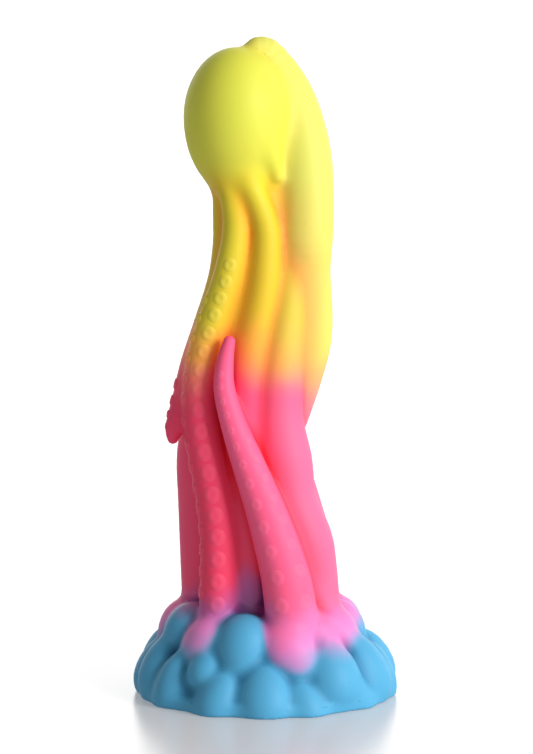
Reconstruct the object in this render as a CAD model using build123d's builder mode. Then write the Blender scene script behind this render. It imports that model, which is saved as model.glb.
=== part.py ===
"""A cast silicone octopus figure on a pebble base, with a suction recess underneath.

The real article is one casting. Each sculpted form is its own solid here, and the solids meet face to face.
Millimetres, +Z up, origin at the centre of the base's underside, the viewer's side towards -Y.
"""
import math
import os

from build123d import *

# ---- driving dimensions ------------------------------------------------------------------------------
BASE_RADIUS = 40.5  # the plinth, and the outermost rocks
PLINTH_HEIGHT = 3.0
PLINTH_EDGE = 0.8  # rounding of the plinth's lower edge
RECESS_RADIUS = 31.0  # the suction recess under the plinth
RECESS_DEPTH = 2.0

# the casting behind the rocks: (radius, height) up its slope
MOUND_SLOPE = [(35.0, PLINTH_HEIGHT), (35.0, 8.0), (32.5, 15.0), (28.5, 20.0), (22.5, 26.0)]
FLEX_LOW = 30.0  # the root flexes between these two heights
FLEX_HIGH = 43.0
ROOT_CENTRE = (-2.0, -1.0)
ROOT_RADIUS = 17.0  # the middle of the root, inside the ring of feet

HEAD_CENTRE = (-8.8, -5.0)
HEAD_RADIUS = 16.1
HEAD_EQUATOR = 180.5  # height of the widest ring
HEAD_TOP = 202.0
HEAD_BOTTOM = 156.5

SUCKER_PROUD = 0.8  # how far a sucker stands out of its limb
SUCKER_SUNK = 1.4  # how far its stub reaches into the limb
SUCKER_SHARE = 0.37  # sucker radius over the limb's radius
SUCKER_PITCH_SHARE = 1.2  # spacing of a row over the limb's radius
SUCKER_TAPER = 15
DIMPLE_SHARE = 0.5  # dimple radius over the sucker's
DIMPLE_DEPTH = 0.4

# ---- limbs: (x, y, z, radius) from foot to tip, a radius of 0 closing a free tip ---------------------
LIMBS = {
    "front_curl": [
        (5.7, -22.3, 43, 7.4), (3.8, -22.5, 50, 7.0), (-0.1, -22.0, 62, 6.1), (-4.9, -21.5, 75, 5.1),
        (-9.7, -21.0, 88, 4.0), (-12.5, -20.5, 99, 3.3), (-12.1, -20.0, 107.5, 2.6), (-10.9, -19.5, 113, 1.9),
        (-10.1, -19.2, 115, 0),
    ],
    "front_left": [
        (-14.1, -15.4, 43, 5.9), (-14.4, -14.6, 55, 5.9), (-16.0, -13.8, 67, 5.9), (-19.0, -12.6, 83, 5.8),
        (-19.9, -12.2, 92, 5.5), (-19.6, -12.0, 101, 5.3), (-17.8, -12.4, 112, 5.0), (-15.0, -13.0, 121, 4.8),
        (-10.9, -13.3, 134, 4.6), (-8.9, -12.8, 146, 4.2), (-9.6, -12.2, 155, 4.0), (-11.2, -10.6, 164, 4.4),
    ],
    "centre": [
        (-5.0, -12.5, 43, 6.0), (-5.6, -12.5, 60, 5.7), (-6.2, -12.5, 82, 5.3), (-5.6, -13.0, 100, 4.9),
        (-3.9, -13.5, 113, 4.8), (-1.6, -13.6, 124, 4.8), (-0.2, -13.5, 134, 4.7), (0.2, -13.3, 146, 4.2),
        (-2.0, -13.4, 154, 3.9), (-5.2, -13.4, 161, 3.8), (-8.2, -11.4, 167, 3.6),
    ],
    "left_curl": [
        (-28.9, -8.4, 79.7, 0), (-28.5, -8.2, 81.4, 1.8), (-28.0, -7.8, 84.2, 2.9), (-26.0, -7.0, 88.2, 4.2),
        (-23.3, -6.0, 94, 5.3), (-20.2, -5.5, 104, 6.0), (-16.2, -5.0, 116, 6.0), (-12.0, -5.0, 130, 5.8),
        (-10.8, -5.0, 142, 5.3), (-11.2, -4.5, 155, 4.9), (-11.0, -4.0, 164, 4.5),
    ],
    "crest_arm": [
        (2.0, 5.0, 62, 5.5), (4.0, 2.0, 78, 6.5), (7.4, -1.0, 90, 7.0), (10.2, -2.0, 100, 7.5),
        (12.4, -3.0, 111, 8.1), (12.8, -4.0, 121, 8.1), (12.4, -5.6, 133, 7.8), (12.2, -6.2, 143, 8.7),
        (12.3, -4.6, 155, 9.0), (11.2, -1.5, 170, 9.1), (7.8, 1.2, 184, 8.4), (4.0, 1.4, 193.8, 6.5),
        (0.4, 0.2, 199.8, 4.4), (-2.4, -1.3, 202.0, 2.8), (-4.4, -2.4, 202.0, 0),
    ],
    "right_front": [
        (12.8, -9.6, 43, 9.3), (11.6, -10.0, 50, 9.3), (8.6, -10.0, 58, 9.0), (6.6, -10.0, 68, 8.7),
        (4.9, -10.0, 81, 8.2), (4.1, -10.2, 90, 7.5), (4.6, -10.5, 101, 7.2), (5.8, -10.6, 113, 6.4),
        (7.2, -10.2, 124, 5.7), (8.4, -8.6, 134, 4.9), (9.0, -5.5, 145, 4.2), (8.4, -3.5, 157, 4.0),
    ],
    "right_back": [
        (11.4, 9.0, 43, 10.1), (6.8, 9.0, 60, 10.0), (4.0, 9.0, 70, 9.8), (2.0, 9.0, 83, 9.6),
        (2.2, 9.5, 100, 9.5), (3.5, 10.0, 120, 9.0), (5.0, 9.5, 140, 8.5), (3.0, 7.0, 157, 7.0),
        (-2.0, 3.5, 167, 5.5),
    ],
    "left_back": [
        (-16.4, 4.0, 43, 10.2), (-17.0, 4.0, 60, 10.2), (-17.5, 4.0, 75, 10.0), (-15.0, 6.0, 92, 9.5),
        (-11.0, 7.0, 110, 9.0), (-7.0, 7.5, 130, 8.5), (-5.5, 6.0, 146, 8.0), (-6.0, 3.0, 160, 7.0),
    ],
    "core": [
        (-3.0, 0.0, 43, 15.0), (-5.0, -1.0, 62, 14.0), (-6.5, -1.5, 82, 13.2), (-7.0, -3.0, 100, 12.3),
        (-5.5, -4.0, 118, 11.6), (-2.5, -4.0, 134, 10.6), (0.0, -2.5, 150, 9.8), (-2.0, -2.0, 166, 9.0),
    ],
}

# feet of the six limbs that reach the base, through the root and down to the plinth
FEET = [
    [(-14.9, -16.2, 3, 6.3), (-14.4, -15.8, 26, 6.1), (-14.1, -15.4, 43, 5.9)],
    [(-5.0, -12.0, 3, 6.0), (-5.0, -12.3, 26, 6.0), (-5.0, -12.5, 43, 6.0)],
    [(9.0, -20.5, 3, 8.2), (8.3, -21.8, 26, 8.1), (5.7, -22.3, 43, 7.4)],
    [(15.0, -8.0, 3, 9.4), (14.2, -8.8, 26, 9.3), (12.8, -9.6, 43, 9.3)],
    [(13.2, 8.0, 3, 10.2), (13.0, 8.2, 26, 10.1), (11.4, 9.0, 43, 10.1)],
    [(-16.0, 5.2, 3, 10.3), (-15.9, 5.0, 26, 10.2), (-16.4, 4.0, 43, 10.2)],
]

# rows of suckers: name, limb, bearing that the row faces, height of its first and last sucker, size factor
SUCKER_ROWS = [
    ("front_left_suckers", "front_left", 264, 48, 151, 1.1),
    ("front_left_side_suckers", "front_left", 195, 48, 122, 0.85),
    ("front_curl_suckers", "front_curl", 248, 47, 106, 0.8),
    ("front_curl_side_suckers", "front_curl", 312, 47, 82, 0.7),
    ("left_curl_suckers", "left_curl", 190, 86, 100, 0.8),
]

# rocks: (bearing, reach, height, half width, half length, lean, roll). Bearings run from +X towards +Y, reach
# is the middle's distance from the axis, lean tips the top inwards and roll tips it along the bearing.
LOWER_ROCKS = [
    (198, 31.8, 8.5, 8.2, 11.6, 12, -6), (216, 33.0, 5.8, 7.1, 11.0, 10, 4),
    (236, 31.0, 12.2, 5.9, 7.4, 20, 10), (246, 32.6, 3.6, 7.6, 10.2, 12, 14),
    (270, 30.8, 4.6, 9.6, 11.8, 14, 0), (291, 33.6, 1.8, 6.8, 9.6, 12, -14),
    (309, 30.2, 10.4, 9.4, 12.4, 20, -4), (321, 34.0, 3.0, 6.4, 9.4, 12, -20),
    (336, 31.8, 8.8, 8.5, 12.4, 14, -8), (352, 33.2, 5.8, 7.2, 11.0, 10, 8),
    (8, 32.0, 8.2, 8.4, 11.5, 14, -10), (27, 33.2, 5.4, 7.2, 10.4, 10, 6), (46, 31.0, 7.8, 9.3, 11.8, 12, -8),
    (66, 33.4, 5.3, 7.0, 9.8, 10, 14), (84, 31.6, 8.3, 8.8, 12.4, 14, -5),
    (103, 33.4, 4.9, 7.0, 9.8, 10, -18), (122, 31.0, 7.8, 9.3, 12.2, 12, 6),
    (142, 33.2, 5.8, 7.2, 10.4, 10, -10), (160, 31.6, 8.8, 8.6, 11.9, 14, 8),
    (179, 32.8, 6.8, 7.6, 10.8, 12, -8),
]
UPPER_ROCKS = [
    (200, 24.2, 20.0, 8.4, 10.0, 35, 10), (227, 25.8, 17.8, 8.2, 9.8, 30, 34),
    (255, 25.0, 18.0, 9.0, 11.2, 26, 6), (287, 26.6, 17.4, 8.6, 11.2, 28, -30),
    (311, 24.0, 20.0, 7.8, 10.0, 30, -22), (331, 24.0, 20.0, 8.1, 10.4, 35, -12),
    (356, 23.4, 20.0, 8.0, 9.7, 35, 10), (22, 24.3, 19.5, 8.2, 9.7, 32, -14),
    (50, 22.4, 20.0, 8.7, 9.7, 32, 8), (78, 22.0, 20.4, 8.2, 9.7, 30, -10),
    (106, 22.4, 19.6, 8.9, 10.2, 30, 12), (134, 24.3, 19.6, 8.2, 9.7, 32, -8),
    (157, 25.3, 19.6, 7.7, 9.3, 35, 6), (178, 25.3, 20.0, 8.0, 9.7, 35, -12),
]


def tangent(stations, index):
    """The direction of a limb's axis at one station, from the stations beside it."""
    before, after = stations[max(index - 1, 0)], stations[min(index + 1, len(stations) - 1)]
    return Vector(*(b - a for a, b in zip(before[:3], after[:3]))).normalized()


def section_plane(stations, index):
    """The plane of one round section, level at the foot and square to the axis above it."""
    x, y, z, _ = stations[index]
    along = tangent(stations, index)
    if index == 0 and z <= FLEX_HIGH:
        along = Vector(0, 0, 1)
    across = Vector(0, 1, 0) - along * along.Y
    return Plane(origin=(x, y, z), x_dir=across, z_dir=along)


def limb(stations):
    """A lofted limb through round sections, with a point where a radius is 0."""
    sections = []
    for index, (x, y, z, radius) in enumerate(stations):
        if radius == 0:
            sections.append(Vertex(x, y, z))
            continue
        with BuildSketch(section_plane(stations, index)) as section:
            Circle(radius)
        sections.append(section.sketch)
    with BuildPart() as lofted:
        loft(sections)
    return lofted.part


def foot(stations):
    """A limb's foot: a loft through level round sections."""
    with BuildPart() as lofted:
        for x, y, z, radius in stations:
            with BuildSketch(Plane.XY.offset(z)):
                with Locations((x, y)):
                    Circle(radius)
        loft()
    return lofted.part


def apart(first, second):
    """True if two shapes' boxes don't meet, so that one can't cut the other."""
    a, b = first.bounding_box(), second.bounding_box()
    lows = [max(pair) for pair in zip(a.min, b.min)]
    highs = [min(pair) for pair in zip(a.max, b.max)]
    return any(low >= high for low, high in zip(lows, highs))


def cut_by(shape, tools):
    """What is left of a shape once every tool that reaches it is taken away."""
    with BuildPart() as left:
        add(shape)
        for tool in tools:
            if not apart(shape, tool):
                add(tool, mode=Mode.SUBTRACT)
    return left.part


def largest(shape):
    """A shape's largest solid, without the scraps that a cut leaves."""
    return max(shape.solids(), key=lambda solid: solid.volume)


def save(shape, name):
    """Labels a finished piece and writes its STEP file."""
    shape.label = name
    export_step(shape, f"parts/{name}.step")
    print(name, round(shape.volume), len(shape.solids()), shape.is_valid)


def rock_plane(rock):
    """The plane that a rock is revolved in: its origin is the rock's middle, its Y the long axis."""
    bearing, reach, height, _, _, lean, roll = rock
    turn = math.radians(bearing)
    outward = Vector(math.cos(turn), math.sin(turn), 0)
    sideways = Vector(-math.sin(turn), math.cos(turn), 0)
    inwards = outward * -math.tan(math.radians(lean))
    along = sideways * math.tan(math.radians(roll))
    long_axis = Vector(0, 0, 1) + inwards + along
    level = long_axis.cross(Vector(0, 0, 1)) if lean or roll else outward
    return Plane(origin=outward * reach + Vector(0, 0, height), x_dir=level, z_dir=level.cross(long_axis))


def parting_plane(rock, neighbour):
    """The plane between two rocks, nearer to the smaller one and facing the neighbour."""
    here, there = rock_plane(rock).origin, rock_plane(neighbour).origin
    share = (rock[3] + rock[4]) / (rock[3] + rock[4] + neighbour[3] + neighbour[4])
    return Plane(origin=here + (there - here) * share, z_dir=there - here)


def rock_solid(rock, all_rocks, casting):
    """A spheroid parted from its neighbours by flat joints, standing on the plinth and against the mound."""
    plane = rock_plane(rock)
    half_width, half_length = rock[3], rock[4]
    with BuildPart() as stone:
        with BuildSketch(plane):
            with BuildLine():
                EllipticalCenterArc((0, 0), half_width, half_length, -90, arc_size=180)
                Line((0, half_length), (0, -half_length))
            make_face()
        revolve(axis=Axis(plane.origin, plane.y_dir))
        split(bisect_by=Plane.XY.offset(PLINTH_HEIGHT), keep=Keep.TOP)
        for neighbour in all_rocks:
            gap = rock_plane(neighbour).origin - plane.origin
            if 0 < gap.length < half_length + neighbour[4]:
                split(bisect_by=parting_plane(rock, neighbour), keep=Keep.BOTTOM)
    return largest(cut_by(stone.part, casting))


def sucker_row(stations, facing, low, high, size, tools):
    """A row of dimpled pads along one side of a limb, cut off where they enter it."""
    solid_stations = [station for station in stations if station[3] > 0]
    spine = Spline(*[station[:3] for station in solid_stations])
    turn = math.radians(facing)
    outward = Vector(math.cos(turn), math.sin(turn), 0)
    with BuildPart() as row:
        place = 0.0
        while place < spine.length:
            centre = spine.position_at(place, position_mode=PositionMode.LENGTH)
            along = spine.tangent_at(place, position_mode=PositionMode.LENGTH)
            radius = limb_radius(solid_stations, centre.Z)
            pad = radius * SUCKER_SHARE * size
            if low <= centre.Z <= high:
                square = (outward - along * outward.dot(along)).normalized()
                stub = Plane(origin=centre + square * (radius - SUCKER_SUNK), x_dir=along, z_dir=square)
                with BuildSketch(stub):
                    Circle(pad)
                extrude(amount=SUCKER_SUNK + SUCKER_PROUD, taper=SUCKER_TAPER)
                with BuildSketch(stub.offset(SUCKER_SUNK + SUCKER_PROUD)):
                    Circle(pad * DIMPLE_SHARE)
                extrude(amount=-DIMPLE_DEPTH, mode=Mode.SUBTRACT)
            place += radius * SUCKER_PITCH_SHARE * size
    return cut_by(row.part, tools)


def limb_radius(stations, height):
    """A limb's radius at a height, in proportion between the two stations around it."""
    for below, above in zip(stations, stations[1:]):
        if below[2] <= height <= above[2]:
            return below[3] + (above[3] - below[3]) * (height - below[2]) / (above[2] - below[2])
    return stations[-1][3]


os.makedirs("parts", exist_ok=True)

# ---- head: an egg revolved about its own upright axis ------------------------------------------------
# An oval's point halfway round, as a share of its half width and half height.
halfway = math.sqrt(0.5)
with BuildPart() as head:
    with BuildSketch(Plane(origin=(*HEAD_CENTRE, HEAD_EQUATOR), x_dir=(1, 0, 0), z_dir=(0, -1, 0))):
        above, below = HEAD_TOP - HEAD_EQUATOR, HEAD_EQUATOR - HEAD_BOTTOM
        with BuildLine():
            Spline(
                (0, -below), (HEAD_RADIUS * halfway, -below * halfway), (HEAD_RADIUS, 0),
                (HEAD_RADIUS * halfway, above * halfway), (0, above), tangents=((1, 0), (-1, 0)),
            )
            Line((0, above), (0, -below))
        make_face()
    revolve(axis=Axis((*HEAD_CENTRE, 0), (0, 0, 1)))
save(head.part, "head")

# ---- limbs: each is cut by the head and by the limbs in front of it ----------------------------------
made = [head.part]
for limb_name, limb_stations in LIMBS.items():
    made.append(largest(cut_by(limb(limb_stations), made)))
    save(made[-1], limb_name)

for row_name, limb_name, facing, low, high, size in SUCKER_ROWS:
    save(sucker_row(LIMBS[limb_name], facing, low, high, size, made), row_name)

# ---- root and mound: the feet run through both -------------------------------------------------------
feet = [foot(foot_stations) for foot_stations in FEET]
with BuildPart() as column:
    with BuildSketch(Plane.XY.offset(PLINTH_HEIGHT)):
        with Locations(ROOT_CENTRE):
            Circle(ROOT_RADIUS)
    extrude(amount=FLEX_HIGH - PLINTH_HEIGHT)

with BuildPart() as flexing_root:
    add([column.part, *feet])
    split(bisect_by=Plane.XY.offset(FLEX_LOW), keep=Keep.TOP)
save(flexing_root.part, "flexing_root")

with BuildPart() as slope:
    with BuildSketch(Plane.XZ):
        with BuildLine():
            Polyline((0, PLINTH_HEIGHT), *MOUND_SLOPE, (0, MOUND_SLOPE[-1][1]), close=True)
        make_face()
    revolve(axis=Axis.Z)

with BuildPart() as mound:
    add([slope.part, column.part, *feet])
    split(bisect_by=Plane.XY.offset(FLEX_LOW), keep=Keep.BOTTOM)
save(mound.part, "mound")

# ---- plinth: a disc with a shallow suction recess underneath -----------------------------------------
with BuildPart() as plinth:
    with BuildSketch():
        Circle(BASE_RADIUS)
    extrude(amount=PLINTH_HEIGHT)
    fillet(plinth.edges().group_by(Axis.Z)[0], PLINTH_EDGE)
    with BuildSketch():
        Circle(RECESS_RADIUS)
    extrude(amount=RECESS_DEPTH, mode=Mode.SUBTRACT)
save(plinth.part, "plinth")

# ---- rocks -------------------------------------------------------------------------------------------
for ring_name, ring in (("lower", LOWER_ROCKS), ("upper", UPPER_ROCKS)):
    for number, rock in enumerate(ring, start=1):
        stone = rock_solid(rock, LOWER_ROCKS + UPPER_ROCKS, [slope.part, column.part, *feet])
        save(stone, f"rock_{ring_name}_{number:02d}")
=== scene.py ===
"""The look of the silicone octopus figure: one cast skin, cut into its sculpted forms, yellow, pink and blue.

Every form is a distance field in millimetres. The fields are joined with soft fillets into one skin. Each
form keeps the part of the skin nearest to it, as a closed piece that meets its neighbours edge to edge.
"""
import math

import bpy
import numpy as np
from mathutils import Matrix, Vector


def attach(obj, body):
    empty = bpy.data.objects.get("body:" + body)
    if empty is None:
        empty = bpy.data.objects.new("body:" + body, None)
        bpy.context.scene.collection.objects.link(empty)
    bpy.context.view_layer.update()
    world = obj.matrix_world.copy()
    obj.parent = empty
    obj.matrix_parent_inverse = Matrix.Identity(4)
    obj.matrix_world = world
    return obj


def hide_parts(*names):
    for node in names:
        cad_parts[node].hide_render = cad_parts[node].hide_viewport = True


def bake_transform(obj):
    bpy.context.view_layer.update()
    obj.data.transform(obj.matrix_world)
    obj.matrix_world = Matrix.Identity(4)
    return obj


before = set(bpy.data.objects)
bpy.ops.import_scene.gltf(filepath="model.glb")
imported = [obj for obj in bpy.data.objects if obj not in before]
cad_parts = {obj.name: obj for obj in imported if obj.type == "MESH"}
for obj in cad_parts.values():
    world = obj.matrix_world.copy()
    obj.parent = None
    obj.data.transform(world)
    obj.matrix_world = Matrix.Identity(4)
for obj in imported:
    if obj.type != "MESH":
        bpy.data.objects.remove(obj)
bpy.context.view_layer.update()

# ---- sizes in millimetres ----------------------------------------------------------------------------------
MM = 0.001
VOXEL = 0.75  # grid step of the distance fields
REACH = 7.0  # how far outside a form its field is worked out
FAR = 20.0  # the field's value beyond that
GRID_LOW = np.array((-46.0, -46.0, -3.0))
GRID_HIGH = np.array((46.0, 46.0, 209.0))

LIMB_FILLET = 3.0
HEAD_FILLET = 4.2
DRIP_FILLET = 3.0
ROCK_FILLET = 2.4
FOOT_FILLET = 2.6

BASE_RADIUS = 38.8
PLINTH_HEIGHT = 3.0
PLINTH_EDGE = 1.2
RECESS_RADIUS = 31.0
RECESS_DEPTH = 2.0
HEAD_MIDDLE = (-8.8, -5.0, 180.5)
HEAD_HALF_WIDTH = 16.2
HEAD_ABOVE, HEAD_BELOW = 21.5, 24.0
# the casting behind the rocks: its radius at each height
MOUND_HEIGHTS = (0, 3, 6, 10, 15, 20, 26, 30, 33)
MOUND_RADII = (38.2, 37.4, 36.0, 33.8, 30.8, 27.0, 21.5, 17.0, 8.0)
MOUND_STEEPNESS = 0.8  # turns the distance sideways to its slanting side into about the real distance
FOOT_BOX = 41  # half the width of the box that the mound and the plinth are worked out in

# limbs: (x, y, z, radius) from the plinth to the tip
LIMBS = {
    "front_curl": [
        (9.0, -20.5, 6, 8.2), (8.3, -21.8, 26, 8.1), (6.8, -22.4, 38, 7.7), (5.7, -22.3, 43, 7.4),
        (3.8, -22.5, 50, 7.0), (-0.1, -22.0, 62, 6.1), (-4.9, -21.5, 75, 5.1), (-9.7, -21.0, 88, 4.0),
        (-12.5, -20.5, 99, 3.3), (-12.1, -20.0, 107.5, 2.6), (-10.9, -19.5, 113, 1.9),
    ],
    "front_left": [
        (-14.9, -16.2, 6, 6.2), (-14.4, -15.8, 26, 6.1), (-14.1, -15.4, 43, 5.9), (-14.4, -14.6, 55, 5.9),
        (-16.0, -13.8, 67, 5.9), (-19.0, -12.6, 83, 5.8), (-19.9, -12.2, 92, 5.5), (-19.6, -12.0, 101, 5.3),
        (-17.8, -12.4, 112, 5.0), (-15.0, -13.0, 121, 4.8), (-10.9, -13.3, 134, 4.6), (-8.9, -12.8, 146, 4.2),
        (-9.6, -12.2, 155, 4.0), (-11.2, -10.6, 164, 4.4),
    ],
    "centre": [
        (-5.0, -12.0, 6, 6.0), (-5.0, -12.3, 26, 6.0), (-5.0, -12.5, 43, 6.0), (-5.6, -12.5, 60, 5.7),
        (-6.2, -12.5, 82, 5.3), (-5.6, -13.0, 100, 4.9), (-3.9, -13.5, 113, 4.8), (-1.6, -13.6, 124, 4.8),
        (-0.2, -13.5, 134, 4.7), (0.2, -13.3, 146, 4.2), (-2.0, -13.4, 154, 3.9), (-5.2, -13.4, 161, 3.8),
        (-8.2, -11.4, 167, 3.6),
    ],
    "left_curl": [
        (-28.5, -8.2, 81.4, 1.8), (-28.0, -7.8, 84.2, 2.9), (-26.0, -7.0, 88.2, 4.2), (-23.3, -6.0, 94, 5.3),
        (-20.2, -5.5, 104, 6.0), (-16.2, -5.0, 116, 6.0), (-12.0, -5.0, 130, 5.8), (-10.8, -5.0, 142, 5.3),
        (-11.2, -4.5, 155, 4.9), (-11.0, -4.0, 164, 4.5),
    ],
    "crest_arm": [
        (2.0, 5.0, 62, 5.5), (4.0, 2.0, 78, 6.5), (7.4, -1.0, 90, 7.0), (10.2, -2.0, 100, 7.5),
        (12.4, -3.0, 111, 8.1), (12.8, -4.0, 121, 8.1), (12.4, -5.6, 133, 7.8), (12.2, -6.2, 143, 8.7),
        (12.3, -4.6, 155, 9.0), (11.2, -1.5, 170, 9.1), (7.8, 1.2, 184, 8.4), (4.0, 1.4, 193.8, 6.5),
        (0.4, 0.2, 199.8, 4.9), (-2.2, -1.2, 201.4, 3.6),
    ],
    "right_front": [
        (15.0, -8.0, 6, 9.4), (14.2, -8.8, 26, 9.3), (12.8, -9.6, 43, 9.3), (11.6, -10.0, 50, 9.3),
        (8.6, -10.0, 58, 9.0), (6.8, -10.0, 64, 8.8), (6.5, -10.0, 70, 8.6), (5.8, -10.0, 76, 8.6),
        (4.7, -10.0, 82.5, 8.1), (4.1, -10.2, 90, 7.5), (4.6, -10.5, 101, 7.2), (5.8, -10.6, 113, 6.4),
        (7.2, -10.2, 124, 5.7), (8.4, -8.6, 134, 4.9), (9.0, -5.5, 145, 4.2), (8.4, -3.5, 157, 4.0),
    ],
    "right_back": [
        (13.2, 8.0, 6, 10.2), (13.0, 8.2, 26, 10.1), (11.4, 9.0, 43, 10.1), (6.8, 9.0, 60, 10.0),
        (4.0, 9.0, 70, 9.8), (2.0, 9.0, 83, 9.6), (2.2, 9.5, 100, 9.5), (3.5, 10.0, 120, 9.0),
        (5.0, 9.5, 140, 8.5), (3.0, 7.0, 157, 7.0), (-2.0, 3.5, 167, 5.5),
    ],
    "left_back": [
        (-16.0, 5.2, 6, 10.3), (-15.9, 5.0, 26, 10.2), (-16.4, 4.0, 43, 10.2), (-17.0, 4.0, 60, 10.2),
        (-17.5, 4.0, 75, 10.0), (-15.0, 6.0, 92, 9.5), (-11.0, 7.0, 110, 9.0), (-7.0, 7.5, 130, 8.5),
        (-5.5, 6.0, 146, 8.0), (-6.0, 3.0, 160, 7.0),
    ],
    "core": [
        (-2.0, -1.0, 6, 16.0), (-3.0, 0.0, 43, 15.0), (-5.0, -1.0, 62, 14.0), (-6.5, -1.5, 82, 13.2),
        (-7.0, -3.0, 100, 12.3), (-5.5, -4.0, 118, 11.6), (-2.5, -4.0, 134, 10.6), (0.0, -2.5, 150, 9.8),
        (-2.0, -2.0, 166, 9.0),
    ],
}
# drips of the head's lower edge: (x, y, z, radius) from the head to the tip
DRIPS = [
    [(-0.4, -12.4, 174, 3.8), (1.4, -12.6, 169.5, 2.9), (2.8, -12.2, 165.8, 2.0), (3.6, -11.8, 163, 1.2)],
]

# rocks: (bearing, reach, height, half width, half length, lean, roll), with bearings from +X towards +Y, the
# middle's distance from the axis, a lean that tips the top inwards and a roll that tips it along the bearing
LOWER_ROCKS = [
    (198, 32.4, 8.5, 8.2, 11.6, 12, -6), (216, 33.4, 5.8, 7.1, 11.0, 10, 4),
    (236, 30.8, 12.2, 6.2, 7.4, 20, 10), (246, 33.4, 3.6, 7.6, 10.2, 12, 14),
    (270, 31.2, 4.6, 9.6, 11.8, 14, 0), (291, 34.0, 1.8, 6.8, 9.6, 12, -14),
    (309, 30.6, 10.4, 9.6, 12.6, 20, -4), (321, 34.3, 3.0, 6.4, 9.4, 12, -20),
    (336, 32.2, 8.8, 8.7, 12.8, 14, -8), (352, 33.7, 5.8, 7.3, 11.0, 10, 8),
    (8, 32.2, 8.2, 8.5, 11.5, 14, -10), (27, 33.7, 5.4, 7.3, 10.4, 10, 6),
    (46, 31.4, 7.8, 9.4, 11.9, 12, -8), (66, 33.9, 5.3, 7.1, 9.8, 10, 14),
    (84, 31.9, 8.3, 8.9, 12.4, 14, -5), (103, 33.9, 4.9, 7.1, 9.8, 10, -18),
    (122, 31.4, 7.8, 9.4, 12.4, 12, 6), (142, 33.5, 5.8, 7.3, 10.4, 10, -10),
    (160, 31.9, 8.8, 8.7, 11.9, 14, 8), (179, 33.0, 6.8, 7.6, 10.8, 12, -8),
]
UPPER_ROCKS = [
    (200, 24.5, 20.0, 8.6, 10.2, 35, 10), (227, 25.8, 17.8, 8.4, 10.0, 30, 34),
    (255, 25.2, 18.0, 9.2, 11.4, 26, 6), (287, 26.6, 17.4, 8.8, 11.6, 28, -30),
    (311, 24.0, 20.0, 8.0, 10.4, 30, -22), (331, 24.0, 20.0, 8.3, 10.6, 35, -12),
    (356, 23.4, 20.0, 8.1, 9.8, 35, 10), (22, 24.3, 19.5, 8.3, 9.8, 32, -14),
    (50, 22.4, 20.0, 8.8, 9.8, 32, 8), (78, 22.0, 20.4, 8.3, 9.8, 30, -10),
    (106, 22.4, 19.6, 9.0, 10.3, 30, 12), (134, 24.3, 19.6, 8.3, 9.8, 32, -8),
    (157, 25.3, 19.6, 7.8, 9.4, 35, 6), (178, 25.3, 20.0, 8.1, 9.8, 35, -12),
]
LOWER_TAPER, UPPER_TAPER = 0.22, -0.12  # how much a rock narrows towards its top

# rows of suckers: limb, bearing that the row faces, heights of its ends, size factor, height of the rims
SUCKER_ROWS = {
    "front_left_suckers": ("front_left", 264, 31, 140, 1.1, 0.24),
    "front_left_side_suckers": ("front_left", 195, 34, 124, 0.85, 0.4),
    "front_curl_suckers": ("front_curl", 248, 33, 106, 0.8, 0.12),
    "front_curl_side_suckers": ("front_curl", 312, 33, 82, 0.7, 0.12),
    "left_curl_suckers": ("left_curl", 190, 84, 100, 0.8, 0.45),
}
SUCKER_SHARE = 0.37  # sucker radius over the limb's radius
SUCKER_PITCH_SHARE = 1.1  # spacing over the limb's radius
SUCKER_SHADE_SHARE, SUCKER_VEIL = 0.95, 0.016  # how much of the painted shade suckers take, and how much paler they are, on top of the painted sheen
SUCKER_ROOT = 0.6  # how far a sucker goes on under the skin
FULL_RELIEF_RADIUS = 5.0  # limb radius under which the suckers get flatter

# heights where yellow turns pink, and where pink turns blue
YELLOW_ENDS = {
    "front_curl": 150, "front_left": 108, "centre": 110, "left_curl": 113, "crest_arm": 98,
    "right_front": 109, "right_back": 98, "left_back": 108, "core": 112, "head": 100,
}
BLUE_ENDS = {
    "front_curl": 24, "front_left": 27, "centre": 36, "right_front": 20, "right_back": 24, "left_back": 26,
    "core": 36, "rock_upper_01": 36, "rock_upper_02": 26, "rock_upper_03": 42, "rock_upper_04": 20,
    "rock_upper_05": 20, "rock_upper_06": 27, "rock_upper_14": 22, "rock_lower_07": 27,
}
OTHER_YELLOW_ENDS, OTHER_BLUE_ENDS = 150, 30
# how much paler than the others a painted sheen makes a form (the lit forms on the right, the thin front curl
# as if lit through), and how much deeper a painted shade makes its pink
PAINTED_SHEENS = {"front_curl": 0.01, "crest_arm": 0.09, "right_front": 0.03, "right_back": 0.03, "head": 0.03}
# painted shade per form: a deeper, more saturated pink, mostly on the shaded forms on the left
PAINTED_FORM_SHADES = {
    "front_curl": 0.12, "front_left": 0.6, "left_curl": 0.5, "left_back": 0.35, "centre": 0.4, "core": 0.4,
}
DYE_BLUR = 1.2  # how softly those heights and amounts change from one form to the next
DYE_DEPTH = 8  # how deep inside a form its share of the dye stops growing
CREVICE_REACH = 3  # in grid steps, how far around a place crevices are looked for
# share of silicone around open skin, and around the bottom of a crevice, between which the painted crevice
# shade grows from none to full
OPEN_FULLNESS, DEEP_FULLNESS = 0.5, 0.7
# between the limbs: how far from a neighbour the painted shade reaches, and how much of it there is
LIMB_GAP_SHADE_REACH, LIMB_GAP_SHADE = 4.0, 0.8
LIMB_GAP_SHADE_HEIGHTS = (32, 42)  # the painted shade between the limbs starts between these heights


# ---- distance fields ---------------------------------------------------------------------------------------
shape = tuple(int(n) for n in np.ceil((GRID_HIGH - GRID_LOW) / VOXEL))


def slab(low, high):
    """The index ranges of the grid that hold a box, and the coordinates in it, ready to broadcast."""
    first = np.maximum(np.floor((np.asarray(low) - GRID_LOW) / VOXEL).astype(int), 0)
    last = np.minimum(np.ceil((np.asarray(high) - GRID_LOW) / VOXEL).astype(int) + 1, shape)
    axes = [GRID_LOW[k] + VOXEL * np.arange(first[k], last[k], dtype=np.float32) for k in range(3)]
    return tuple(slice(a, b) for a, b in zip(first, last)), np.meshgrid(*axes, indexing="ij", sparse=True)


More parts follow.
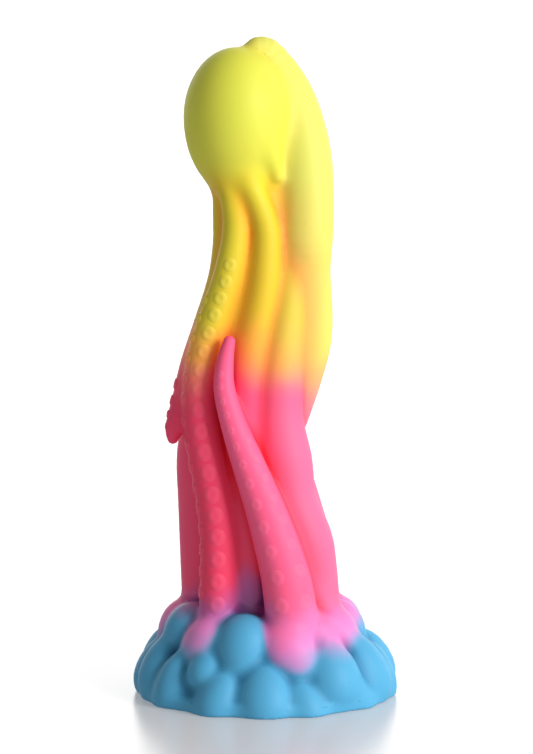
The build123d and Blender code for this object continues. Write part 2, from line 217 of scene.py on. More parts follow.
class Form:
    """One sculpted form: its field over its own part of the grid."""

    def __init__(self, name, low, high):
        self.name = name
        self.where, self.axes = slab(np.asarray(low) - REACH, np.asarray(high) + REACH)
        self.field = np.full([s.stop - s.start for s in self.where], FAR, np.float32)


def smooth_path(stations, step=2.5):
    """Points along a Catmull-Rom curve through (x, y, z, radius) stations."""
    knots = np.array(stations, float)
    knots = np.vstack([2 * knots[0] - knots[1], knots, 2 * knots[-1] - knots[-2]])
    out = []
    for a, b, c, d in zip(knots, knots[1:], knots[2:], knots[3:]):
        count = max(2, int(np.linalg.norm((c - b)[:3]) / step))
        t = np.arange(count)[:, None] / count
        square, cube = 2 * a - 5 * b + 4 * c - d, 3 * b - a - 3 * c + d
        out.append(0.5 * (2 * b + (c - a) * t + square * t**2 + cube * t**3))
    return np.vstack([*out, knots[-2]])


def limb_form(name, stations):
    """A round limb: the nearest of many short cones along its path."""
    path = smooth_path(stations)
    widest = np.maximum(path[:-1, 3:], path[1:, 3:])
    low = (np.minimum(path[:-1, :3], path[1:, :3]) - widest).min(0)
    high = (np.maximum(path[:-1, :3], path[1:, :3]) + widest).max(0)
    form = Form(name, low, high)
    start = [s.start for s in form.where]
    for a, b in zip(path, path[1:]):
        room = max(a[3], b[3]) + REACH
        where, (x, y, z) = slab(np.minimum(a[:3], b[:3]) - room, np.maximum(a[:3], b[:3]) + room)
        inside = tuple(slice(w.start - s, w.stop - s) for w, s in zip(where, start))
        run = (b - a)[:3]
        along = ((x - a[0]) * run[0] + (y - a[1]) * run[1] + (z - a[2]) * run[2]) / (run @ run)
        along = np.clip(along, 0, 1)
        gap = sum((axis - at - along * step) ** 2 for axis, at, step in zip((x, y, z), a, run))
        cone = np.sqrt(gap) - a[3] - along * (b[3] - a[3])
        part = form.field[inside]
        np.minimum(part, cone, out=part)
    return form


def oval(x, y, z, half_x, half_y, half_z):
    """Roughly the distance to an ellipsoid, given the offsets from its middle along its axes."""
    near = np.sqrt((x / half_x) ** 2 + (y / half_y) ** 2 + (z / half_z) ** 2)
    slope = np.sqrt((x / half_x**2) ** 2 + (y / half_y**2) ** 2 + (z / half_z**2) ** 2)
    return near * (near - 1) / np.maximum(slope, 1e-6)


def head_form():
    """The bulb head: an egg with its long end down."""
    middle = np.array(HEAD_MIDDLE)
    half = np.array((HEAD_HALF_WIDTH, HEAD_HALF_WIDTH, HEAD_BELOW))
    form = Form("head", middle - half, middle + half)
    x, y, z = (axis - at for axis, at in zip(form.axes, middle))
    form.field = oval(x, y, z, HEAD_HALF_WIDTH, HEAD_HALF_WIDTH, np.where(z > 0, HEAD_ABOVE, HEAD_BELOW))
    return form


def rock_form(name, rock, taper):
    """A pebble: an oval that narrows towards one end, leaning on the mound."""
    bearing, reach, height, half_width, half_length, lean, roll = rock
    turn = math.radians(bearing)
    outward = np.array((math.cos(turn), math.sin(turn), 0))
    sideways = np.array((-math.sin(turn), math.cos(turn), 0))
    lean, roll = math.tan(math.radians(lean)), math.tan(math.radians(roll))
    tall = np.array((0, 0, 1)) - outward * lean + sideways * roll
    tall /= np.linalg.norm(tall)
    across = np.cross(tall, outward)
    across /= np.linalg.norm(across)
    deep = np.cross(across, tall)
    middle = outward * reach + np.array((0, 0, height))
    form = Form(name, middle - half_length, middle + half_length)
    offsets = [axis - at for axis, at in zip(form.axes, middle)]
    x, y, z = (sum(o * v for o, v in zip(offsets, direction)) for direction in (across, tall, deep))
    narrow = 1 - taper * np.clip(y / half_length, -1.2, 1.2)
    form.field = oval(x / narrow, y, z / narrow, half_width, half_length, half_width)
    return form


def mound_form():
    """The casting behind the rocks."""
    form = Form("mound", (-FOOT_BOX, -FOOT_BOX, 0), (FOOT_BOX, FOOT_BOX, MOUND_HEIGHTS[-1] + 1))
    x, y, z = form.axes
    radius = np.interp(z, MOUND_HEIGHTS, MOUND_RADII)
    form.field = (MOUND_STEEPNESS * (np.hypot(x, y) - radius)).astype(np.float32)
    form.field = np.maximum(form.field, z - MOUND_HEIGHTS[-1])
    return form


def plinth_form():
    """The foot: a disc with a rounded edge."""
    form = Form("plinth", (-FOOT_BOX, -FOOT_BOX, 0), (FOOT_BOX, FOOT_BOX, PLINTH_HEIGHT + 1))
    x, y, z = form.axes
    half = PLINTH_HEIGHT / 2
    out = np.hypot(x, y) - (BASE_RADIUS - PLINTH_EDGE)
    up = np.abs(z - half) - (half - PLINTH_EDGE) + 0 * out
    corner = np.hypot(np.maximum(out, 0), np.maximum(up, 0))
    form.field = corner + np.minimum(np.maximum(out, up), 0) - PLINTH_EDGE
    return form


def joined(fields, fillet):
    """One field for several forms, over the whole grid, with soft fillets where they meet."""
    whole = np.full(shape, FAR, np.float32)
    for form in fields:
        part = whole[form.where]
        close = np.maximum(fillet - np.abs(part - form.field), 0) / fillet
        np.copyto(part, np.minimum(part, form.field) - close**2 * fillet / 4)
    return whole


def filleted(a, b, fillet):
    """Two whole fields joined with a fillet."""
    close = np.maximum(fillet - np.abs(a - b), 0) / fillet
    return np.minimum(a, b) - close**2 * fillet / 4


limbs = [limb_form(name, stations) for name, stations in LIMBS.items()]
drips = [limb_form("drip", stations) for stations in DRIPS]
rocks = [rock_form(f"rock_lower_{n:02d}", rock, LOWER_TAPER) for n, rock in enumerate(LOWER_ROCKS, 1)]
rocks += [rock_form(f"rock_upper_{n:02d}", rock, UPPER_TAPER) for n, rock in enumerate(UPPER_ROCKS, 1)]
head, mound, plinth = head_form(), mound_form(), plinth_form()
forms = [*limbs, *rocks, head, mound, plinth]

skin = filleted(joined(limbs, LIMB_FILLET), joined([head, *drips], DRIP_FILLET), HEAD_FILLET)
skin = filleted(skin, joined([mound, *rocks], ROCK_FILLET), FOOT_FILLET)
skin = filleted(skin, joined([plinth], ROCK_FILLET), ROCK_FILLET)
_, (grid_x, grid_y, grid_z) = slab(GRID_LOW, GRID_HIGH)
recess = np.maximum(np.hypot(grid_x, grid_y) - RECESS_RADIUS, grid_z - RECESS_DEPTH)
skin = np.maximum(skin, -np.minimum(recess, grid_z))

nearest = np.full(shape, FAR, np.float32)
second = np.full(shape, FAR, np.float32)
owner = np.full(shape, -1, np.int16)
share = np.full(shape, 1e-6, np.float32)
yellow_ends = share * OTHER_YELLOW_ENDS
blue_ends = share * OTHER_BLUE_ENDS
painted_sheen = np.zeros(shape, np.float32)
painted_form_shade = np.zeros(shape, np.float32)
for number, form in enumerate(forms):
    weight = np.exp(-np.maximum(form.field, -DYE_DEPTH) / DYE_BLUR)
    share[form.where] += weight
    yellow_ends[form.where] += weight * YELLOW_ENDS.get(form.name, OTHER_YELLOW_ENDS)
    blue_ends[form.where] += weight * BLUE_ENDS.get(form.name, OTHER_BLUE_ENDS)
    painted_sheen[form.where] += weight * PAINTED_SHEENS.get(form.name, 0)
    painted_form_shade[form.where] += weight * PAINTED_FORM_SHADES.get(form.name, 0)
    best, runner_up, whose = nearest[form.where], second[form.where], owner[form.where]
    beats = form.field < best
    np.copyto(runner_up, np.where(beats, best, np.minimum(runner_up, form.field)))
    np.copyto(whose, np.where(beats, np.int16(number), whose))
    np.copyto(best, np.minimum(best, form.field))
yellow_ends /= share
blue_ends /= share
painted_sheen /= share
painted_form_shade /= share


def blurred(field, reach, passes=2):
    """A field averaged over a cube around each place, again and again."""
    for axis in (0, 1, 2) * passes:
        wide = np.pad(field, [(reach + 1, reach) if k == axis else (0, 0) for k in range(3)], mode="edge")
        total = np.cumsum(wide, axis=axis, dtype=np.float64)
        high = np.take(total, range(2 * reach + 1, total.shape[axis]), axis=axis)
        low = np.take(total, range(0, total.shape[axis] - 2 * reach - 1), axis=axis)
        field = ((high - low) / (2 * reach + 1)).astype(np.float32)
    return field


# how full of silicone the space around each place is, which sets the painted crevice shade
fullness = blurred(np.clip(0.5 - skin / (2 * VOXEL), 0, 1), CREVICE_REACH)


def painted_shade_at(steps):
    """How much painted shade points of the skin get: more the deeper in a crevice and the nearer a
    neighbouring form, from 0 on open skin to 1.
    """
    hollow_shade = np.clip((sample(fullness, steps) - OPEN_FULLNESS) / (DEEP_FULLNESS - OPEN_FULLNESS), 0, 1)
    gap_shade = LIMB_GAP_SHADE * np.exp(-np.maximum(sample(second, steps), 0) / LIMB_GAP_SHADE_REACH)
    gap_shade *= np.interp(GRID_LOW[2] + VOXEL * steps[:, 2], LIMB_GAP_SHADE_HEIGHTS, (0, 1))
    return np.maximum(hollow_shade, gap_shade)


# ---- meshes ------------------------------------------------------------------------------------------------
CORNERS = np.array([(i, j, k) for i in (0, 1) for j in (0, 1) for k in (0, 1)])
OUTSIDE = -1
UNFOLD_PASSES, UNFOLD_COSINE = 5, 0.3  # folded quads are those whose triangles lean away from the skin
WALL_DEPTH = 0.35  # how far under the skin the points of a border between two forms stay
SHALLOW_DEPTH = 1.6  # how far in such a border goes straight
NET_STEPS, SETTLE_STEPS = 6, 2  # the last steps only bring the net's points back onto the skin
NET_DAMPING = 0.04
CELL_LOW, CELL_HIGH = 0.02, 0.98  # how near its cell's sides a point of the net may come
LEAST_SLOPE = 0.3  # the flattest slope that a sucker's points are moved by
CRUMB_REACH = 6  # grid steps from a form's body within which its thin edges are kept


def corner_weights(part):
    """Each cell corner's share of a point inside the cell."""
    return np.stack([np.prod(np.where(corner, part, 1 - part), axis=1) for corner in CORNERS], axis=1)


def cell_slopes(values, part):
    """The slope inside each cell of a field given at its corners."""
    slopes = []
    for axis in range(3):
        factors = np.where(CORNERS[:, None, :], part, 1 - part)
        factors[:, :, axis] = np.where(CORNERS[:, axis], 1.0, -1.0)[:, None]
        slopes.append((factors.prod(2).T * values).sum(1))
    return np.stack(slopes, axis=1)


def sample(field, points):
    """A field's value at points given in grid steps, in proportion between the eight nearest."""
    cell = np.clip(np.floor(points).astype(int), 0, np.array(field.shape) - 2)
    values = np.stack([field[tuple((cell + corner).T)] for corner in CORNERS], axis=1)
    return (values * corner_weights(points - cell)).sum(1)


def gradient(field, points, step=0.7):
    """A field's slope at points, per grid step."""
    rises = [sample(field, points + shift) - sample(field, points - shift) for shift in np.eye(3) * step]
    return np.stack(rises, axis=1) / (2 * step)


def shifted(grid, axis, step):
    """The grid as each place's neighbour sees it, one step along an axis."""
    return np.roll(grid, step, axis)  # the grid's outermost layers are empty, so nothing comes round


def without_islands(label):
    """The labels, with crumbs of a form that don't hang together with its body given to their neighbours."""
    ways = [(axis, step) for axis in range(3) for step in (-1, 1)]
    firm = label != OUTSIDE
    for axis in range(3):
        firm &= (shifted(label, axis, 1) == label) & (shifted(label, axis, -1) == label)
    same = [shifted(label, *way) == label for way in ways]
    for _ in range(CRUMB_REACH):
        grown = firm.copy()
        for way, alike in zip(ways, same):
            grown |= shifted(firm, *way) & alike
        firm = grown
    loose = (label != OUTSIDE) & ~firm
    for _ in range(CRUMB_REACH):
        for way in ways:
            taken = loose & shifted(firm, *way)
            label = np.where(taken, shifted(label, *way), label)
            firm, loose = firm | taken, loose & ~taken
    return label


def cast_net(label):
    """One point in every cell where labels meet: on the skin, and on the border between two forms."""
    count = np.zeros([n - 1 for n in label.shape], np.int8)
    first = label[:-1, :-1, :-1]
    for i, j, k in CORNERS[1:]:
        count += label[i : i + first.shape[0], j : j + first.shape[1], k : k + first.shape[2]] != first
    cells = np.argwhere(count > 0)
    corners = [tuple((cells + corner).T) for corner in CORNERS]
    level = np.stack([skin[c] for c in corners], axis=1).astype(float)
    whose = np.stack([owner[c] for c in corners], axis=1)
    margin = np.stack([lead[c] for c in corners], axis=1).astype(float)
    on_skin = (level < 0).any(1) & (level >= 0).any(1)
    main = whose[np.arange(len(cells)), level.argmin(1)]
    border = np.where(whose == main[:, None], margin, -margin)
    shared = ((border < 0) & (level < 0)).any(1)
    part = np.full((len(cells), 3), 0.5)
    for step in range(NET_STEPS + SETTLE_STEPS):
        bordering = shared & ((step < NET_STEPS) | ~on_skin)
        weights = corner_weights(part)
        values = np.stack([(level * weights).sum(1) * on_skin, (border * weights).sum(1) * bordering], axis=1)
        slopes = [cell_slopes(level, part) * on_skin[:, None], cell_slopes(border, part) * bordering[:, None]]
        slopes = np.stack(slopes, axis=1)
        system = slopes @ slopes.transpose(0, 2, 1) + np.eye(2) * NET_DAMPING
        part -= (slopes.transpose(0, 2, 1) @ np.linalg.solve(system, values[:, :, None]))[:, :, 0]
        part = np.clip(part, CELL_LOW, CELL_HIGH)
    # Points on a border inside the casting stay a little under the skin.
    points = cells + part
    slope = gradient(skin, points)
    lift = np.maximum(sample(skin, points) + WALL_DEPTH, 0) * ~on_skin
    sunk = points - (lift / np.maximum((slope**2).sum(1), 0.01))[:, None] * slope
    index = np.full(count.shape, -1, np.int64)
    index[tuple(cells.T)] = np.arange(len(cells))
    return np.clip(sunk, cells + CELL_LOW, cells + CELL_HIGH), index


def cast_quads(label, index):
    """A quad for every grid edge between two labels, facing away from the first, and both labels."""
    quads, sides = [], []
    for axis in range(3):
        u, v = np.eye(3, dtype=int)[(axis + 1) % 3], np.eye(3, dtype=int)[(axis + 2) % 3]
        step = np.eye(3, dtype=int)[axis]
        here = label[tuple(slice(0, n - s) for n, s in zip(label.shape, step))]
        there = label[tuple(slice(s, n) for n, s in zip(label.shape, step))]
        low = np.argwhere(here != there)
        ring = [low, low - u, low - u - v, low - v]
        quads.append(np.stack([index[tuple(r.T)] for r in ring], axis=1))
        sides.append(np.stack([here[tuple(low.T)], there[tuple(low.T)]], axis=1))
    return np.vstack(quads), np.vstack(sides)


def unfolded(points, quads):
    """The net's points, moved towards the middle of their cells on the skin wherever quads fold over."""
    for _ in range(UNFOLD_PASSES):
        corners = points[quads]
        outwards = gradient(skin, corners.mean(1))
        folded = np.zeros(len(quads), bool)
        for a, b, c in ((0, 1, 2), (0, 2, 3), (0, 1, 3), (1, 2, 3)):
            facing = np.cross(corners[:, b] - corners[:, a], corners[:, c] - corners[:, a])
            lengths = np.linalg.norm(facing, axis=1) * np.linalg.norm(outwards, axis=1)
            folded |= (facing * outwards).sum(1) < UNFOLD_COSINE * lengths
        moved = np.unique(quads[folded])
        cell = np.floor(points[moved])
        calm = cell + 0.5
        for _ in range(4):
            slope = gradient(skin, calm)
            calm -= (sample(skin, calm) / np.maximum((slope**2).sum(1), 0.01))[:, None] * slope
            calm = np.clip(calm, cell + CELL_LOW, cell + CELL_HIGH)
        points[moved] = calm
    return points


def mesh_object(name, points, quads, normals, attributes):
    """A mesh object from points in millimetres, quads, a normal for each quad's corner and point values."""
    mesh = bpy.data.meshes.new(name)
    mesh.vertices.add(len(points))
    mesh.vertices.foreach_set("co", (points * MM).astype(np.float32).ravel())
    mesh.loops.add(quads.size)
    mesh.loops.foreach_set("vertex_index", quads.astype(np.int32).ravel())
    mesh.polygons.add(len(quads))
    mesh.polygons.foreach_set("loop_start", np.arange(0, quads.size, 4, dtype=np.int32))
    mesh.update(calc_edges=True)
    mesh.polygons.foreach_set("use_smooth", np.ones(len(quads), bool))
    if normals is not None:
        mesh.normals_split_custom_set(normals.reshape(-1, 3).tolist())
    for key, values in attributes.items():
        attribute = mesh.attributes.new(key, "FLOAT", "POINT")
        attribute.data.foreach_set("value", np.broadcast_to(values, len(points)).astype(np.float32))
    made = bpy.data.objects.new(name, mesh)
    bpy.context.scene.collection.objects.link(made)
    return made


# Just under the skin, a border between two forms goes straight in.
lead = second - nearest
shallow = np.argwhere((skin < 0) & (skin > -SHALLOW_DEPTH))
outwards = gradient(skin, shallow.astype(float))
above = shallow - (skin[tuple(shallow.T)] / np.maximum((outwards**2).sum(1), 0.1))[:, None] * outwards
above = np.clip(above, 0, np.array(shape) - 1.001)
nearby = tuple(np.round(above).astype(int).T)
straight_owner, straight_lead = owner[nearby], sample(lead, above)
owner[tuple(shallow.T)] = straight_owner
lead[tuple(shallow.T)] = straight_lead

# The plinth is the casting's lowest layer, whatever stands on it.
over_plinth = grid_z - PLINTH_HEIGHT + 0 * lead
owner = np.where(over_plinth < 0, np.int16(forms.index(plinth)), owner)
lead = np.where(over_plinth < 0, -over_plinth, np.minimum(lead, over_plinth))
labels = without_islands(np.where(skin < 0, owner, np.int16(OUTSIDE)))
owner = np.where(skin < 0, labels, owner)
net_points, net_index = cast_net(labels)
net_quads, net_sides = cast_quads(labels, net_index)
leaving, entering = net_sides[:, 1] == OUTSIDE, net_sides[:, 0] == OUTSIDE
net_points = unfolded(net_points, np.vstack([net_quads[leaving], net_quads[entering][:, ::-1]]))
net_normals = gradient(skin, net_points)
net_normals /= np.maximum(np.linalg.norm(net_normals, axis=1, keepdims=True), 1e-9)
net_painted_shade = painted_shade_at(net_points)


def form_piece(number):
    """The closed piece of the casting that belongs to one form."""
    facing_out, facing_in = net_sides[:, 0] == number, net_sides[:, 1] == number
    quads = np.vstack([net_quads[facing_out], net_quads[facing_in][:, ::-1]])
    beyond = np.concatenate([net_sides[facing_out, 1], net_sides[facing_in, 0]])
    used, quads = np.unique(quads, return_inverse=True)
    quads = quads.reshape(-1, 4)
    points = net_points[used]
    corners = points[quads]
    flat = np.cross(corners[:, 2] - corners[:, 0], corners[:, 3] - corners[:, 1])
    flat /= np.maximum(np.linalg.norm(flat, axis=1, keepdims=True), 1e-9)
    normals = np.where((beyond == OUTSIDE)[:, None, None], net_normals[used][quads], flat[:, None, :])
    return mesh_object(forms[number].name, GRID_LOW + VOXEL * points, quads, normals, {
        "painted_crevice_shade": net_painted_shade[used],
        "yellow_ends": sample(yellow_ends, points) * MM,
        "blue_ends": sample(blue_ends, points) * MM,
        "painted_sheen": sample(painted_sheen, points),
        "painted_form_shade": sample(painted_form_shade, points),
    })


# ---- suckers -----------------------------------------------------------------------------------------------
def on_skin(points, direction):
    """Points moved along a direction onto the skin, in millimetres."""
    for _ in range(6):
        steps = (points - GRID_LOW) / VOXEL
        value = sample(skin, steps)
        slope = gradient(skin, steps) @ direction / VOXEL
        slope = np.where(np.abs(slope) < LEAST_SLOPE, LEAST_SLOPE, slope)
        points = points - (np.clip(value, -1, 1) / slope)[:, None] * direction
    return points


# a sucker's profile: share of its radius, share of its relief
RIM = [
    (0.0, 0.5), (0.14, 0.52), (0.28, 0.64), (0.42, 0.86), (0.56, 1.0), (0.72, 0.96), (0.88, 0.74),
    (1.02, 0.4), (1.16, 0.04), (1.26, -0.4),
]
ROUND = 28  # points around a sucker


def sucker(centre, normal, radius, relief):
    """One dimpled pad that follows the skin: its points and quads."""
    side = np.cross(normal, (0.0, 0.0, 1.0))
    side /= np.linalg.norm(side)
    up = np.cross(side, normal)
    angles = np.arange(ROUND) * 2 * math.pi / ROUND
    circle = np.cos(angles)[:, None] * side + np.sin(angles)[:, None] * up
    rings = [
        on_skin(centre + circle * radius * share, normal) + normal * relief * height
        for share, height in RIM[1:]
    ]
    rings.append(rings[-1] - normal * SUCKER_ROOT)
    top = on_skin(centre[None], normal) + normal * relief * RIM[0][1]
    bottom = rings[-1].mean(0, keepdims=True)
    points = np.vstack([top, *rings, bottom])
    here = np.arange(ROUND)
    beside = (here + 1) % ROUND
    quads = []
    for ring in range(len(rings) - 1):
        inner, outer = 1 + ring * ROUND, 1 + (ring + 1) * ROUND
        quads.append(np.stack([inner + beside, outer + beside, outer + here, inner + here], axis=1))
    last = len(points) - 1
    start = 1 + (len(rings) - 1) * ROUND
    even = here[::2]
    after, middle = (even + 2) % ROUND, beside[even]
    quads.append(np.stack([1 + after, 1 + middle, 1 + even, np.zeros_like(even)], axis=1))
    quads.append(np.stack([start + even, start + middle, start + after, np.full_like(even, last)], axis=1))
    return points, np.vstack(quads)


def sucker_row(name):
    """A row of suckers along one side of a limb, as one piece."""
    limb, facing, low, high, size, relief = SUCKER_ROWS[name]
    path = smooth_path(LIMBS[limb], 0.5)
    turn = math.radians(facing)
    outward = np.array((math.cos(turn), math.sin(turn), 0))
    points, quads, room, count = [], [], 0.0, 0
    for a, b in zip(path, path[1:]):
        along = (b - a)[:3]
        room -= np.linalg.norm(along)
        if room > 0 or not low <= a[2] <= high:
            continue
        along /= np.linalg.norm(along)
        square = outward - along * (outward @ along)
        square /= np.linalg.norm(square)
        centre = on_skin((a[:3] + square * a[3])[None], square)[0]
        height = relief * min(1, a[3] / FULL_RELIEF_RADIUS)
        pad, faces = sucker(centre, square, a[3] * SUCKER_SHARE * size, height)
        points.append(pad)
        quads.append(faces + count)
        count += len(pad)
        room = a[3] * SUCKER_PITCH_SHARE
    points = np.vstack(points)
    steps = (points - GRID_LOW) / VOXEL
    return mesh_object(name, points, np.vstack(quads), None, {
        "painted_crevice_shade": painted_shade_at(steps) * SUCKER_SHADE_SHARE,
        "yellow_ends": sample(yellow_ends, steps) * MM,
        "blue_ends": sample(blue_ends, steps) * MM,
        "painted_sheen": sample(painted_sheen, steps) + SUCKER_VEIL,
        "painted_form_shade": sample(painted_form_shade, steps) * SUCKER_SHADE_SHARE,
    })


# ---- silicone ----------------------------------------------------------------------------------------------
def linear(*display):
    """A shader colour from display values of 0 to 255."""
    return *((v / 255 / 12.92 if v <= 10 else ((v / 255 + 0.055) / 1.055) ** 2.4) for v in display), 1


YELLOW, ORANGE, PINK = linear(212, 212, 56), linear(254, 178, 84), linear(255, 98, 144)
LILAC, BLUE, WHITE = linear(222, 128, 192), linear(80, 162, 202), linear(255, 255, 255)
# painted shade colours: darker, more saturated versions of the dyes, turning gold high up on the head
SHADE_GOLD, SHADE_ORANGE, SHADE_RED = linear(218, 200, 34), linear(246, 122, 16), linear(232, 20, 52)
SHADE_PURPLE, SHADE_BLUE = linear(128, 48, 124), linear(28, 96, 138)
# waviness of the edge between two dyes: noise scale, and its height in metres
PINK_WAVE, BLUE_WAVE = (45, 0.02), (70, 0.014)
# where a colour fades in: metres over the height where yellow turns pink, and for SHADE_GOLD_FADE over the
# table
ORANGE_FADE, YELLOW_FADE = (-0.017, 0.002), (-0.005, 0.017)
SHADE_ORANGE_FADE, SHADE_GOLD_FADE = (-0.02, 0.01), (0.148, 0.170)
BLUE_FADE = 0.013  # metres either side of the height where pink turns blue
ROUGHNESS, SPECULAR = 0.52, 0.2
GRAIN_SCALE, GRAIN_STRENGTH, GRAIN_HEIGHT = 900, 0.04, 0.0003


def silicone():
    """Satin silicone whose dye changes with height, with painted shade in the crevices, between the limbs and
    on the shaded forms, and a painted sheen on the lit ones.
    """
    material = bpy.data.materials.new("cast_silicone")
    material.use_nodes = True
    tree = material.node_tree
    nodes, links = tree.nodes, tree.links
    shader = nodes["Principled BSDF"]
    place = nodes.new("ShaderNodeTexCoord").outputs["Object"]

    def value(name):
        node = nodes.new("ShaderNodeAttribute")
        node.attribute_name = name
        return node.outputs["Fac"]

    def maths(operation, a, b):
        node = nodes.new("ShaderNodeMath")
        node.operation = operation
        for socket, given in zip(node.inputs, (a, b)):
            if isinstance(given, (int, float)):
                socket.default_value = given
            else:
                links.new(given, socket)
        return node.outputs[0]

    def wave(scale, amount):
        """Slow waviness in metres, for the edge between two dyes."""
        node = nodes.new("ShaderNodeTexNoise")
        node.inputs["Scale"].default_value = scale
        node.inputs["Detail"].default_value = 2
        links.new(place, node.inputs["Vector"])
        return maths("MULTIPLY", maths("SUBTRACT", node.outputs["Fac"], 0.5), amount)

    def rise(height, start, end):
        """0 under one height and 1 over the other, softly."""
        node = nodes.new("ShaderNodeMapRange")
        node.interpolation_type = "SMOOTHERSTEP"
        node.inputs["From Min"].default_value = start
        node.inputs["From Max"].default_value = end
        links.new(height, node.inputs["Value"])
        return node.outputs["Result"]

    def mix(factor, a, b):
        node = nodes.new("ShaderNodeMix")
        node.data_type = "RGBA"
        links.new(factor, node.inputs["Factor"])
        for socket, given in ((node.inputs[6], a), (node.inputs[7], b)):
            if isinstance(given, tuple):
                socket.default_value = given
            else:
                links.new(given, socket)
        return node.outputs[2]

    def ramp(height, spread, low, middle, high):
        """From one colour through a second to a third, around height zero."""
        lower = mix(rise(height, -spread, spread * 0.2), low, middle)
        return mix(rise(height, -spread * 0.2, spread), lower, high)

    split = nodes.new("ShaderNodeSeparateXYZ")
    links.new(place, split.inputs[0])
    height = split.outputs["Z"]
    over_pink = maths("SUBTRACT", maths("ADD", height, wave(*PINK_WAVE)), value("yellow_ends"))
    over_blue = maths("SUBTRACT", maths("ADD", height, wave(*BLUE_WAVE)), value("blue_ends"))
    open_colour = ramp(over_blue, BLUE_FADE, BLUE, LILAC, PINK)
    open_colour = mix(rise(over_pink, *ORANGE_FADE), open_colour, ORANGE)
    open_colour = mix(rise(over_pink, *YELLOW_FADE), open_colour, YELLOW)
    # painted shade: the same bands in darker, more saturated colours
    shade_colour = ramp(over_blue, BLUE_FADE, SHADE_BLUE, SHADE_PURPLE, SHADE_RED)
    shade_colour = mix(rise(over_pink, *SHADE_ORANGE_FADE), shade_colour, SHADE_ORANGE)
    shade_colour = mix(rise(height, *SHADE_GOLD_FADE), shade_colour, SHADE_GOLD)
    # how much painted shade: in crevices and between limbs, and on the shaded forms only where they are pink
    pinkness = maths("SUBTRACT", 1, rise(over_pink, *ORANGE_FADE))
    deep = maths("MAXIMUM", value("painted_crevice_shade"), maths("MULTIPLY", value("painted_form_shade"), pinkness))
    colour = mix(deep, open_colour, shade_colour)
    # painted sheen: the colour turned paler towards white, for the lit side's haze and light through thin
    # parts
    colour = mix(value("painted_sheen"), colour, WHITE)
    links.new(colour, shader.inputs["Base Color"])
    shader.inputs["Roughness"].default_value = ROUGHNESS
    shader.inputs["Specular IOR Level"].default_value = SPECULAR
    grain = nodes.new("ShaderNodeTexNoise")
    grain.inputs["Scale"].default_value = GRAIN_SCALE
    links.new(place, grain.inputs["Vector"])
    bump = nodes.new("ShaderNodeBump")
    bump.inputs["Strength"].default_value = GRAIN_STRENGTH
    bump.inputs["Distance"].default_value = GRAIN_HEIGHT
    links.new(grain.outputs["Fac"], bump.inputs["Height"])
    links.new(bump.outputs["Normal"], shader.inputs["Normal"])
    return material


skin_material = silicone()
for number, form in enumerate(forms):
    piece = form_piece(number)
    piece.data.materials.append(skin_material)
    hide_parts(form.name)
    if form.name == "core":
        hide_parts("flexing_root")
    if form.name in LIMBS:
        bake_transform(piece)
    elif form.name == "head":
        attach(piece, "stem")
    else:
        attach(piece, "base")

for name in SUCKER_ROWS:
    piece = sucker_row(name)
    piece.data.materials.append(skin_material)
    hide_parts(name)
    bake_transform(piece)

# ---- studio ------------------------------------------------------------------------------------------------
scene = bpy.context.scene
scene.view_settings.view_transform = "Standard"

world = bpy.data.worlds.new("studio")
scene.world = world
world.use_nodes = True
sky, sky_links = world.node_tree.nodes, world.node_tree.links
sky["Background"].inputs["Color"].default_value = (1, 1, 1, 1)
around = sky.new("ShaderNodeTexCoord").outputs["Generated"]


def sky_lobe(direction, start, end, outside, inside):
    """A factor for the sky's brightness: one value towards a direction, and another away from it."""
    towards = sky.new("ShaderNodeVectorMath")
    towards.operation = "DOT_PRODUCT"
    towards.inputs[1].default_value = Vector(direction).normalized()
    sky_links.new(around, towards.inputs[0])
    factor = sky.new("ShaderNodeMapRange")
    factor.interpolation_type = "SMOOTHSTEP"
    for socket, given in zip(("From Min", "From Max", "To Min", "To Max"), (start, end, outside, inside)):
        factor.inputs[socket].default_value = given
    sky_links.new(towards.outputs["Value"], factor.inputs["Value"])
    return factor.outputs["Result"]


def product(a, b):
    """The product of two factors."""
    node = sky.new("ShaderNodeMath")
    node.operation = "MULTIPLY"
    sky_links.new(a, node.inputs[0])
    sky_links.new(b, node.inputs[1])
    return node.outputs[0]


shaded_left = sky_lobe((-0.8, -0.6, 0.05), -0.4, 0.8, 1.25, 0.42)
bright_behind = sky_lobe((0, 1, 0.15), 0.6, 0.95, 1.0, 2.0)
dim_overhead = sky_lobe((0, 0, 1), 0.1, 0.95, 1.0, 0.3)
brightness = product(product(shaded_left, bright_behind), dim_overhead)
sky_links.new(brightness, sky["Background"].inputs["Strength"])


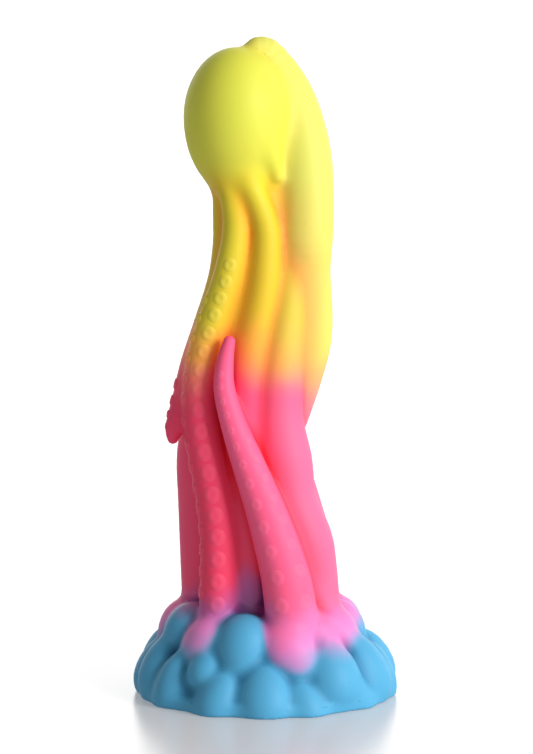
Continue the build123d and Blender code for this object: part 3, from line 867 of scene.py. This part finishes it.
def area_light(name, place, target, size, watts):
    """A square soft box that faces a point."""
    data = bpy.data.lights.new(name, "AREA")
    data.size = size
    data.energy = watts
    lamp = bpy.data.objects.new(name, data)
    lamp.location = place
    lamp.rotation_euler = (Vector(target) - Vector(place)).to_track_quat("-Z", "Y").to_euler()
    scene.collection.objects.link(lamp)


area_light("key", place=(1.0, -0.8, 0.6), target=(0, 0, 0.1), size=0.6, watts=18)

FLOOR = 9  # half its width
FLOOR_GREY, FLOOR_ROUGHNESS, FLOOR_SPECULAR, FLOOR_GLOW = (0.42, 0.42, 0.42, 1), 0.26, 0.5, 0.22
floor_corners = [(-FLOOR, -FLOOR, 0), (FLOOR, -FLOOR, 0), (FLOOR, FLOOR, 0), (-FLOOR, FLOOR, 0)]
floor_mesh = bpy.data.meshes.new("floor")
floor_mesh.from_pydata(floor_corners, [], [(0, 1, 2, 3)])
floor = bpy.data.objects.new("floor", floor_mesh)
scene.collection.objects.link(floor)
floor_material = bpy.data.materials.new("white_floor")
floor_material.use_nodes = True
floor_shader = floor_material.node_tree.nodes["Principled BSDF"]
floor_shader.inputs["Base Color"].default_value = FLOOR_GREY
floor_shader.inputs["Roughness"].default_value = FLOOR_ROUGHNESS
floor_shader.inputs["Specular IOR Level"].default_value = FLOOR_SPECULAR
floor_shader.inputs["Emission Color"].default_value = WHITE
floor_shader.inputs["Emission Strength"].default_value = FLOOR_GLOW
floor_mesh.materials.append(floor_material)

CAMERA_DISTANCE, CAMERA_ELEVATION = 1.2, math.radians(7.6)
CAMERA_TARGET = 0.103  # the height that the camera looks at
CAMERA_LENS, CAMERA_SHIFT = 184.5, (0.002, -0.015)
camera_data = bpy.data.cameras.new("camera")
camera = bpy.data.objects.new("camera", camera_data)
camera.location = (
    0,
    -CAMERA_DISTANCE * math.cos(CAMERA_ELEVATION),
    CAMERA_TARGET + CAMERA_DISTANCE * math.sin(CAMERA_ELEVATION),
)
camera.rotation_euler = (math.radians(90) - CAMERA_ELEVATION, 0, 0)
camera_data.lens = CAMERA_LENS
camera_data.shift_x, camera_data.shift_y = CAMERA_SHIFT
scene.collection.objects.link(camera)
scene.camera = camera
